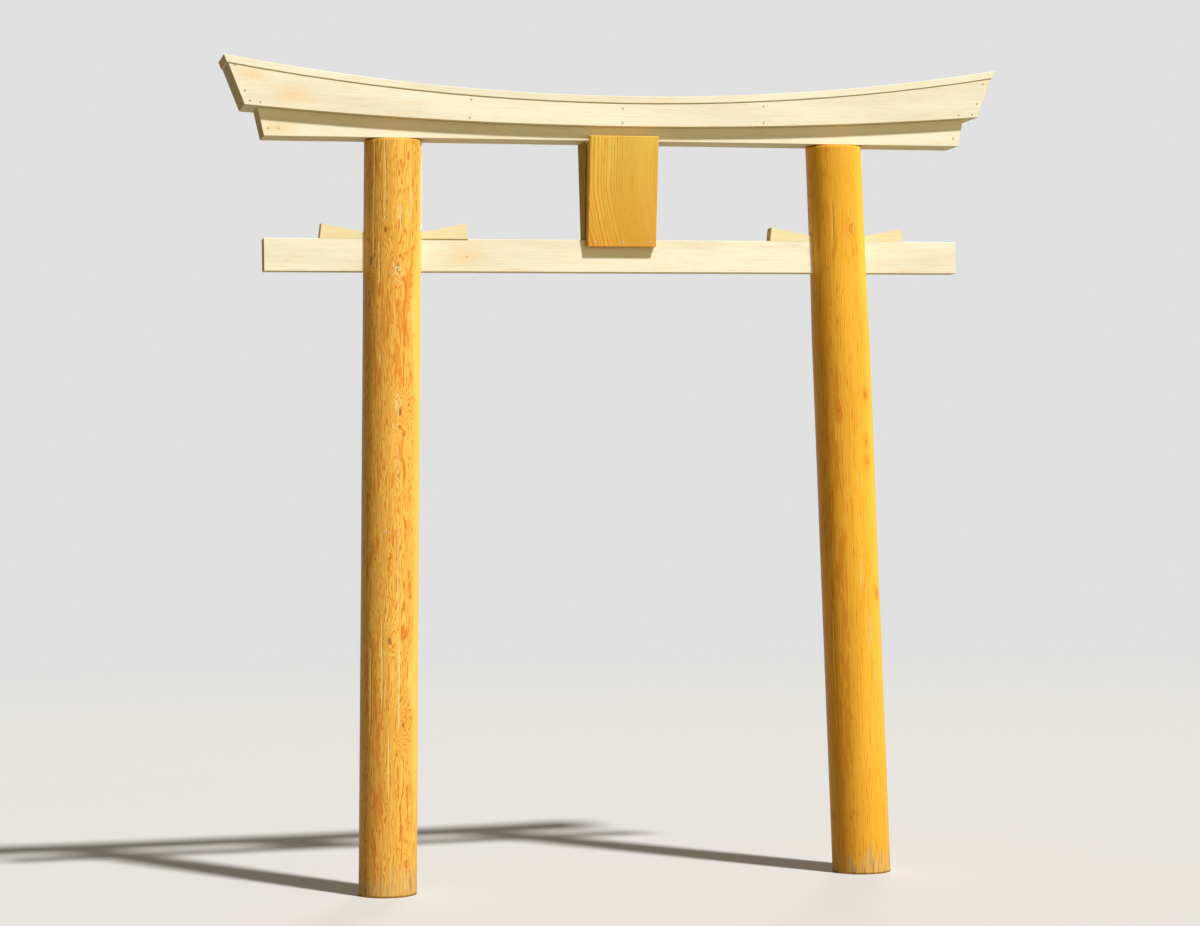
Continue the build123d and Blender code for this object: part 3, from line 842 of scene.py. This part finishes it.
def knot_places(name, knots):
    """Knots of a post as centre, way, radius, reach and bulge in the gate's frame."""
    placed = []
    for height, arc, *marks in knots:
        angle = arc / POST_RADIUS
        way = Vector((sin(angle), -cos(angle), 0.0))
        axis = Vector((POST_FEET[name] + POST_LEAN[name] * height / POST_TOP, 0.0, height))
        placed.append((axis + way * post_radius(name, height), way, *marks))
    return placed


def post_material(name, settings, knots, look):
    """Material of a round post: figured growth, resin patches, knots, checks and a bleached foot."""
    material, w, shader = start_material(name.replace("_", " ") + " timber")
    position = gate_position(w)
    heart, halo, lift = add_knots(w, position, knot_places(name, knots), KNOT_ALONG_Z)
    lean = (0.0, atan(POST_LEAN[name] / POST_TOP), 0.0)
    pith = (POST_FEET[name] + look["pith"][0], look["pith"][1], 0.0)
    side = name.removesuffix("post")
    early, late, patch, sapwood, filler = (
        getattr(settings, side + part) for part in ("early", "late", "patch", "sapwood", "filler")
    )
    resin = w.stored("resin")
    timber = w.group(
        GROUPS["timber"], Position=log_position(w, position, pith, lean), Lift=lift,
        Ring_Width=settings.ring_width * look["ring_scale"], Early_Wood=early, Late_Wood=late, Patch=patch,
        Figure=resin, Grain_Way=(0.0, 0.0, 1.0), **look["growth"],
    )

    # A painted highlight, pale on the plain side toward the key lamp; knots, pale flecks and filled checks.
    colour = w.blend(w.spread(resin, -1.0, -0.15, 0.62, 0.0), timber["Colour"], sapwood)
    colour = w.blend(w.times(halo, look["halo_share"]), colour, patch)
    colour = w.blend(w.times(heart, look["knot_share"]), colour, settings.knot)
    flecked = w.stored("flecked")
    chips = w.noise(w.scaled(position, (210.0, 210.0, 62.0)), roughness=0.6)
    chips = w.times_plus(flecked, 0.16, chips)
    flecks = w.times(w.spread(chips, 0.66, 0.70), w.spread(flecked, 0.1, 0.5))
    colour = w.blend(w.times(flecks, look["fleck_share"]), colour, filler)
    colour = w.blend(w.spread(w.stored("filled_check"), 0.25, 0.75), colour, filler)

    # The foot is bleached up to an uneven line, and damp has left streaks in it.
    z = w.parts(position)[2]
    edge = w.noise(w.scaled(position, (30.0, 30.0, 4.0)))
    reach = w.times_plus(edge, 0.22, -0.07)
    bleached = w.spread(z, reach, w.plus(reach, 0.06), 0.60, 0.0)
    colour = w.blend(bleached, colour, settings.weathered)
    damp = w.noise(w.scaled(position, (120.0, 120.0, 9.0)))
    stain = w.times(w.spread(damp, 0.50, 0.66), w.spread(z, 0.02, 0.15, 0.7, 0.0))
    colour = w.blend(stain, colour, settings.damp)
    sheen = w.times_plus(bleached, 0.25, timber["Sheen"])
    finish_surface(w, shader, colour, sheen, timber["Relief"], POST_RELIEF, POST_GLOSS)
    return material


# Each post's seams, figure, flecks and knots, and its look: where its pith is from its foot's centre,
# its rings against the set width, how strongly its marks show, and its values of the timber group.
POSTS = {
    "left_post": (LEFT_SEAMS, LEFT_FIGURE, LEFT_FLECKS, LEFT_KNOTS, dict(
        pith=(-0.042, 0.004), ring_scale=1.45, fleck_share=0.9, knot_share=0.65, halo_share=0.20,
        growth=dict(
            Seed=3.0, Wander=0.016, Wander_Across=0.024, Wander_Along=0.13, Late_Share=0.85,
            Patch_Share=0.62, Fibre_Share=0.18, Roughness=0.46,
        ),
    )),
    "right_post": (RIGHT_SEAMS, RIGHT_FIGURE, RIGHT_FLECKS, RIGHT_KNOTS, dict(
        pith=(-0.046, 0.0), ring_scale=1.5, fleck_share=0.9, knot_share=0.36, halo_share=0.45,
        growth=dict(
            Seed=8.0, Wander=0.010, Wander_Across=0.026, Wander_Along=0.22, Late_Share=0.48,
            Patch_Share=0.55, Fibre_Share=0.16, Roughness=0.44,
        ),
    )),
}


class TORII_OT_posts(Operator):
    """Shape and finish the two round posts"""

    bl_idname = "torii.posts"
    bl_label = "Posts"

    def execute(self, context):
        build_groups()
        settings = context.scene.torii_posts
        for name, (seams, figure, flecks, knots, look) in POSTS.items():
            piece = post_mesh(name, seams, figure, flecks, settings)
            piece.data.materials.append(post_material(name, settings, knots, look))
            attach(piece, "root")
            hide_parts(name)
        return {"FINISHED"}


# The cap's grain follows its bend: where the bend is lowest, how far it rises, and over what run.
CAP_BEND = (MIDDLE_X, CAP_HIGH.z - CAP_LOW.z - BOARD_THICKNESS, (CAP_HIGH.x - CAP_LOW.x) / 2)


class TORII_OT_lintels(Operator):
    """Finish the boards, blocks and cap of the two lintels"""

    bl_idname = "torii.lintels"
    bl_label = "Lintels and cap"

    def execute(self, context):
        build_groups()
        settings = context.scene.torii_beams
        colours = (settings.early, settings.late, settings.blush)
        # Each board's pith, its seed and its knots.
        boards = {
            "kasagi_front_board": ((0, -0.060, 2.55), 11, [
                ((-0.440, KASAGI_FACE, 2.835), FRONT, 0.0008, 0.026, 0.010),
                ((-0.300, KASAGI_FACE, 2.765), FRONT, 0.0008, 0.030, 0.012),
            ]),
            "kasagi_back_board": ((0, 0.125, 2.93), 12, []),
            "kasagi_cap": ((0, 0.04, 2.60), 13, []),
            "shimaki_front_board": ((0, -0.020, 2.58), 14, [
                ((-0.349, SHIMAKI_FACE, 2.653), FRONT, 0.0030, 0.028, 0.009),
            ]),
            "shimaki_back_board": ((0, 0.100, 2.59), 15, []),
        }
        for node, (pith, seed, knots) in boards.items():
            dress(node, sawn_timber(
                node.replace("_", " ") + " timber", pith, ALONG_X, seed, colours, settings.ring_width,
                knots=knots, knot_colour=settings.knot, bend=CAP_BEND if node == "kasagi_cap" else None,
            ))
        blocks = sawn_timber(
            "lintel block timber", (0, 0.07, 2.60), ALONG_X, 16, colours, settings.ring_width, Late_Share=0.7
        )
        for node in CAD:
            if node.endswith(("_block", "_soffit")):
                dress(node, blocks)
        return {"FINISHED"}


class TORII_OT_tie_beam(Operator):
    """Finish the tie beam and the four wedges that hold it"""

    bl_idname = "torii.tie_beam"
    bl_label = "Tie beam and wedges"

    def execute(self, context):
        build_groups()
        settings = context.scene.torii_beams
        knots = [((0.310, NUKI_LOW.y, 2.219), FRONT, 0.0022, 0.030, 0.006)]
        dress("nuki", sawn_timber(
            "tie beam timber", (0, 0.050, 2.10), ALONG_X, 21, (settings.early, settings.late, settings.blush),
            settings.ring_width, knots=knots, knot_colour=settings.knot,
        ))
        wedges = sawn_timber(
            "wedge timber", (0, 0.020, 2.23), ALONG_X, 22,
            (settings.wedge_early, settings.wedge_late, settings.blush), settings.ring_width, Late_Share=0.6,
        )
        for node in CAD:
            if node.endswith("_wedge"):
                dress(node, wedges)
        return {"FINISHED"}


class TORII_OT_plaque(Operator):
    """Finish the strut, the packing and the bare plaque"""

    bl_idname = "torii.plaque"
    bl_label = "Strut and plaque"

    def execute(self, context):
        build_groups()
        beams = context.scene.torii_beams
        settings = context.scene.torii_plaque
        colours = (settings.early, settings.late, settings.blush)
        middle = (PLAQUE_LOW.x + PLAQUE_HIGH.x) / 2
        middle_height = (PLAQUE_LOW.z + PLAQUE_HIGH.z) / 2
        pith = (PLAQUE_LOW.x - 0.120, PLAQUE_HIGH.y + 0.040, middle_height)
        dress("plaque_board", sawn_timber(
            "plaque timber", pith, (radians(10.0), 0.0, 0.0), 31, colours, settings.ring_width,
            plain_from=(PLAQUE_LOW.x + 0.100, PLAQUE_LOW.x + 0.140),
            swerve=(middle_height + 0.03, 0.28, 0.06), deeper_over=(PLAQUE_LOW.z, PLAQUE_HIGH.z),
            Wander=0.008, Wander_Across=0.12, Wander_Along=0.30, Late_Share=1.0, Patch_Share=0.75,
            Fibre_Share=0.36, Roughness=0.5,
        ))
        dress("plaque_packing", sawn_timber(
            "packing timber", (middle, 0.02, 2.40), ALONG_Z, 32, colours, settings.ring_width,
            Late_Share=0.6,
        ))
        # The strut's colours carry painted shade as well as its own darker tone.
        dress("gakuzuka", sawn_timber(
            "strut timber", (middle - 0.02, 0.03, 2.40), ALONG_Z, 33,
            (beams.strut_early_with_painted_shade, beams.strut_late_with_painted_shade, settings.blush), settings.ring_width, Late_Share=0.7,
            gloss=STRUT_GLOSS,
        ))
        return {"FINISHED"}


# Screws seen on the front of each lintel board, as X from the gate's middle and height. The back
# boards have the same ones. The plaque's are in one row, this far up from its lower edge.
KASAGI_SCREWS = [
    (-1.363, 2.863), (-1.329, 2.777), (-1.313, 2.742), (-1.277, 2.738), (-0.543, 2.760), (-0.550, 2.697),
    (0.000, 2.738), (-0.002, 2.688), (0.519, 2.755), (0.518, 2.696), (1.355, 2.852), (1.330, 2.778),
    (1.310, 2.739), (1.258, 2.736),
]
SHIMAKI_SCREWS = [(-1.249, 2.653), (-0.445, 2.655), (0.278, 2.651), (1.246, 2.654)]
PLAQUE_SCREWS = [-0.098, 0.001, 0.100]
PLAQUE_SCREW_RISE = 0.0155

# A head is round with this many sides and reaches this far into the wood. Its recess has four arms,
# and each arm's corners are given across, in radii, and by their swing from the arm.
HEAD_SIDES = 24
HEAD_SUNK = 0.0006
RECESS_CORNERS = ((0.1275, -pi / 4), (0.62, -0.16), (0.62, 0.16))
RECESS_DEPTH = 0.0011
RECESS_TAPER = 0.72


def screw_heads(name, places, settings, steel):
    """Countersunk heads with a cross recess, one mesh: places are (centre, outward, turn)."""
    build = bmesh.new()
    radius, stand = settings.head_width / 2, settings.head_stand
    for centre, outward, turn in places:
        side = outward.cross(Vector((0.0, 0.0, 1.0))).normalized()
        up = outward.cross(side).normalized()

        def put(across, lift, angle):
            flat = side * (cos(angle) * across) + up * (sin(angle) * across)
            return build.verts.new(centre + flat * radius + outward * lift)

        rings = [
            [put(across, lift, turn + 2 * pi * n / HEAD_SIDES) for n in range(HEAD_SIDES)]
            for across, lift in ((1.0, -HEAD_SUNK), (0.97, stand * 0.55), (0.88, stand))
        ]
        for low, high in zip(rings, rings[1:]):
            for n in range(HEAD_SIDES):
                after = (n + 1) % HEAD_SIDES
                build.faces.new((low[n], low[after], high[after], high[n]))
        star, deep = [], []
        for arm in range(4):
            for across, swing in RECESS_CORNERS:
                angle = turn + arm * pi / 2 + swing
                star.append(put(across, stand, angle))
                deep.append(put(across * RECESS_TAPER, stand - RECESS_DEPTH, angle))
        corners = len(star)
        for n in range(corners):
            after = (n + 1) % corners
            build.faces.new((star[n], star[after], deep[after], deep[n]))
        build.faces.new(deep)
        for n in range(corners):
            fan = range(n * HEAD_SIDES // corners, (n + 1) * HEAD_SIDES // corners + 1)
            rim = [rings[-1][k % HEAD_SIDES] for k in fan]
            build.faces.new([*rim, star[(n + 1) % corners], star[n]])
    bmesh.ops.recalc_face_normals(build, faces=build.faces)
    mesh = bpy.data.meshes.new(name)
    build.to_mesh(mesh)
    build.free()
    mesh.materials.append(steel)
    piece = bpy.data.objects.new(name, mesh)
    bpy.context.scene.collection.objects.link(piece)
    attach(piece, "root")


def screw_steel(name, colour, roughness):
    """Coated steel, dulled and flecked a little with rust."""
    material, w, shader = start_material(name)
    speck = w.noise(gate_position(w), scale=900.0, detail=3.0, roughness=0.6)
    rust = w.spread(speck, 0.52, 0.68)
    w.feed(shader.inputs["Base Color"], w.blend(rust, colour, RUST))
    w.feed(shader.inputs["Roughness"], w.times_plus(speck, 0.3, roughness))
    w.feed(shader.inputs["Metallic"], w.spread(rust, 0.0, 1.0, 0.85, 0.1))
    return material


class TORII_OT_screws(Operator):
    """Drive the screws of the lintel boards and the plaque"""

    bl_idname = "torii.screws"
    bl_label = "Screws"

    def execute(self, context):
        settings = context.scene.torii_screws
        coated = screw_steel("coated screw steel", settings.steel, 0.35)
        bright = screw_steel("plaque screw steel", settings.bright, 0.28)
        rows = {
            "kasagi_front_screws": (KASAGI_SCREWS, KASAGI_FACE),
            "kasagi_back_screws": (KASAGI_SCREWS, -KASAGI_FACE),
            "shimaki_front_screws": (SHIMAKI_SCREWS, SHIMAKI_FACE),
            "shimaki_back_screws": (SHIMAKI_SCREWS, -SHIMAKI_FACE),
        }
        for name, (places, face) in rows.items():
            outward = Vector((0.0, 1.0 if face > 0 else -1.0, 0.0))
            heads = [(Vector((MIDDLE_X + x, face, z)), outward, 0.7 * n) for n, (x, z) in enumerate(places)]
            screw_heads(name, heads, settings, coated)
        low_edge, outward = plaque_face()
        row = low_edge + Vector((0.0, outward.z, -outward.y)) * PLAQUE_SCREW_RISE
        heads = [(row + Vector((x, 0.0, 0.0)), outward, 0.9 * n) for n, x in enumerate(PLAQUE_SCREWS)]
        screw_heads("plaque_screws", heads, settings, bright)
        return {"FINISHED"}


def plaque_face():
    """Middle of the lower front edge of the plaque, and the way its face looks."""
    # The lean at which a board of this thickness fills the plaque's box, found by repeating.
    box = PLAQUE_HIGH - PLAQUE_LOW
    lean = 0.0
    for _ in range(30):
        lean = atan((box.y - BOARD_THICKNESS * cos(lean)) / (box.z - BOARD_THICKNESS * sin(lean)))
    middle = (PLAQUE_LOW.x + PLAQUE_HIGH.x) / 2
    back_foot = Vector((middle, PLAQUE_HIGH.y, PLAQUE_LOW.z + BOARD_THICKNESS * sin(lean)))
    outward = Vector((0.0, -cos(lean), -sin(lean)))
    return back_foot + outward * BOARD_THICKNESS, outward


# Colours of the light: from the sun, sent back warm by what stands round, from all sides, and off
# the floor.
SUNLIGHT = (1.0, 0.98, 0.96)
REFLECTED = (1.0, 0.87, 0.53)
FILL_LIGHT = (1.0, 0.88, 0.60)
FLOOR_BOUNCE = (0.24, 0.19, 0.09)


class TORII_OT_stage(Operator):
    """Set the floor, the lamps and the camera"""

    bl_idname = "torii.stage"
    bl_label = "Stage"

    def execute(self, context):
        scene = context.scene
        settings = scene.torii_stage
        self.floor(scene, settings)
        self.world(scene, settings)
        for name, colour in (("key", SUNLIGHT), ("front", REFLECTED), ("back", SUNLIGHT)):
            self.lamp(scene, name, colour, settings)
        self.camera(scene, settings)
        scene.view_settings.view_transform = "Standard"
        return {"FINISHED"}

    def floor(self, scene, settings):
        build = bmesh.new()
        bmesh.ops.create_circle(build, cap_ends=True, segments=96, radius=settings.floor_radius)
        mesh = bpy.data.meshes.new("floor")
        build.to_mesh(mesh)
        build.free()
        piece = bpy.data.objects.new("floor", mesh)
        piece.location = (MIDDLE_X, 0.0, 0.0)
        scene.collection.objects.link(piece)

        material = bpy.data.materials.new("pale floor")
        material.use_nodes = True
        material.node_tree.nodes.clear()
        w = Wiring(material.node_tree)
        seen = w.add("ShaderNodeBsdfDiffuse", {"Color": settings.floor})
        lit = w.add("ShaderNodeBsdfDiffuse", {"Color": FLOOR_BOUNCE})
        bounce = w.shaders(w.add("ShaderNodeLightPath").outputs["Is Diffuse Ray"], seen, lit)
        away = w.vector("LENGTH", gate_position(w))
        fade = w.spread(away, settings.floor_radius * 0.3, settings.floor_radius * 0.97)
        faded = w.shaders(fade, bounce, w.add("ShaderNodeBsdfTransparent"))
        w.add("ShaderNodeOutputMaterial", {"Surface": faded.outputs[0]})
        mesh.materials.append(material)

    def world(self, scene, settings):
        world = bpy.data.worlds.new("studio")
        world.use_nodes = True
        world.node_tree.nodes.clear()
        w = Wiring(world.node_tree)
        shown = w.add("ShaderNodeBackground", {"Color": settings.background})
        fill = w.add("ShaderNodeBackground", {"Color": FILL_LIGHT, "Strength": settings.fill_strength})
        rays = w.add("ShaderNodeLightPath").outputs
        mirrored = w.larger(rays["Is Glossy Ray"], rays["Is Transmission Ray"])
        picked = w.shaders(w.larger(rays["Is Camera Ray"], mirrored), fill, shown)
        w.add("ShaderNodeOutputWorld", {"Surface": picked.outputs[0]})
        scene.world = world

    def lamp(self, scene, name, colour, settings):
        strength, softness, side, height = (
            getattr(settings, f"{name}_{part}") for part in ("strength", "softness", "side", "height")
        )
        light = bpy.data.lights.new(name + " lamp", "SUN")
        light.energy = strength
        light.angle = softness
        light.color = colour
        lamp = bpy.data.objects.new(name + " lamp", light)
        toward = Vector((sin(side) * cos(height), -cos(side) * cos(height), sin(height)))
        lamp.rotation_euler = toward.to_track_quat("Z", "Y").to_euler()
        scene.collection.objects.link(lamp)

    def camera(self, scene, settings):
        # Turned and tilted first, and then rolled about the line of sight.
        yaw, pitch, roll = settings.camera_yaw, settings.camera_pitch, settings.camera_roll
        ahead = Vector((sin(yaw) * cos(pitch), cos(yaw) * cos(pitch), sin(pitch)))
        level_right = Vector((cos(yaw), -sin(yaw), 0.0))
        level_up = level_right.cross(ahead)
        right = level_right * cos(roll) + level_up * sin(roll)
        up = level_up * cos(roll) - level_right * sin(roll)
        lens = bpy.data.cameras.new("camera")
        lens.lens = settings.lens
        lens.sensor_width = 36.0
        camera = bpy.data.objects.new("camera", lens)
        turn = Matrix((right, up, -ahead)).transposed().to_4x4()
        camera.matrix_world = Matrix.Translation(settings.camera_place) @ turn
        scene.collection.objects.link(camera)
        scene.camera = camera


class TORII_PT_panel(Panel):
    """Steps of the gate's finish, in order"""

    bl_label = "Torii gate"
    bl_idname = "TORII_PT_panel"
    bl_space_type = "VIEW_3D"
    bl_region_type = "UI"
    bl_category = "Torii"

    def draw(self, context):
        for step in STEPS:
            self.layout.operator(step.bl_idname)
        for group in GROUP_CLASSES:
            box = self.layout.box()
            settings = getattr(context.scene, group)
            for name in settings.__annotations__:
                box.prop(settings, name)


STEPS = (
    TORII_OT_posts, TORII_OT_lintels, TORII_OT_tie_beam, TORII_OT_plaque, TORII_OT_screws, TORII_OT_stage,
)
GROUP_CLASSES = {
    "torii_posts": PostSettings,
    "torii_beams": BeamSettings,
    "torii_plaque": PlaqueSettings,
    "torii_screws": ScrewSettings,
    "torii_stage": StageSettings,
}


def register():
    for name, group in GROUP_CLASSES.items():
        bpy.utils.register_class(group)
        setattr(bpy.types.Scene, name, PointerProperty(type=group))
    for step in STEPS:
        bpy.utils.register_class(step)
    bpy.utils.register_class(TORII_PT_panel)


def unregister():
    bpy.utils.unregister_class(TORII_PT_panel)
    for step in reversed(STEPS):
        bpy.utils.unregister_class(step)
    for name, group in reversed(list(GROUP_CLASSES.items())):
        delattr(bpy.types.Scene, name)
        bpy.utils.unregister_class(group)


def main():
    register()
    for step in STEPS:
        getattr(bpy.ops.torii, step.bl_idname.removeprefix("torii."))()


if __name__ == "__main__":
    main()
